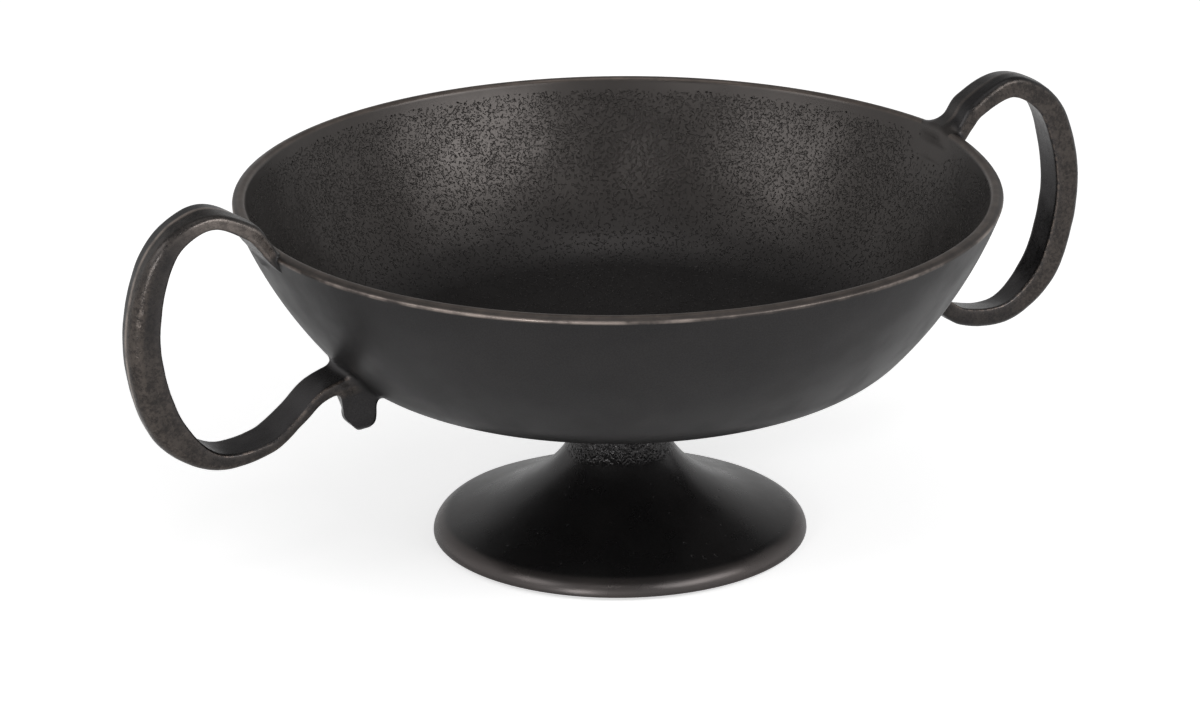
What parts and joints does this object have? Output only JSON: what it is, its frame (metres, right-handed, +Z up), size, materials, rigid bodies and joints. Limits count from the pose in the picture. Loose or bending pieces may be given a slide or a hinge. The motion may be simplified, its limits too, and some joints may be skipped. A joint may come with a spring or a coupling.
{
  "type": "decorative bowl",
  "caption": "Wide shallow cast-metal bowl on a hollow trumpet foot, with tall looped strap handles, for display or fruit.",
  "frame": {"origin": "centre of the bowl's axis at the underside of the felt pads", "axes": "+Z up along the bowl's axis, +X towards the right-hand handle, +Y away from the front"},
  "size_m": [0.4158, 0.2994, 0.1627],
  "materials": {
    "bowl": "bronze-black patina, satin outside, pebbled cast skin inside",
    "foot": "bronze-black patina, semi-gloss, rubbed on the edge",
    "handle": "bronze-black patina, rubbed through to brown on the sides",
    "weld": "filler metal, ground and patinated",
    "zinc_steel": "zinc plated",
    "spring_steel": "dark spring steel",
    "felt": "black felt"
  },
  "bodies": {
    "root": {"bowl": "bowl", "foot": "foot", "handle_left": "handle", "handle_right": "handle", "upper_weld_left_front": "weld", "upper_weld_left_back": "weld", "upper_weld_right_front": "weld", "upper_weld_right_back": "weld", "lower_weld_left": "weld", "lower_weld_right": "weld", "foot_screw": "zinc_steel", "flat_washer": "zinc_steel", "spring_washer": "spring_steel", "felt_pad_1": "felt", "felt_pad_2": "felt", "felt_pad_3": "felt", "felt_pad_4": "felt"}
  },
  "joints": []
}
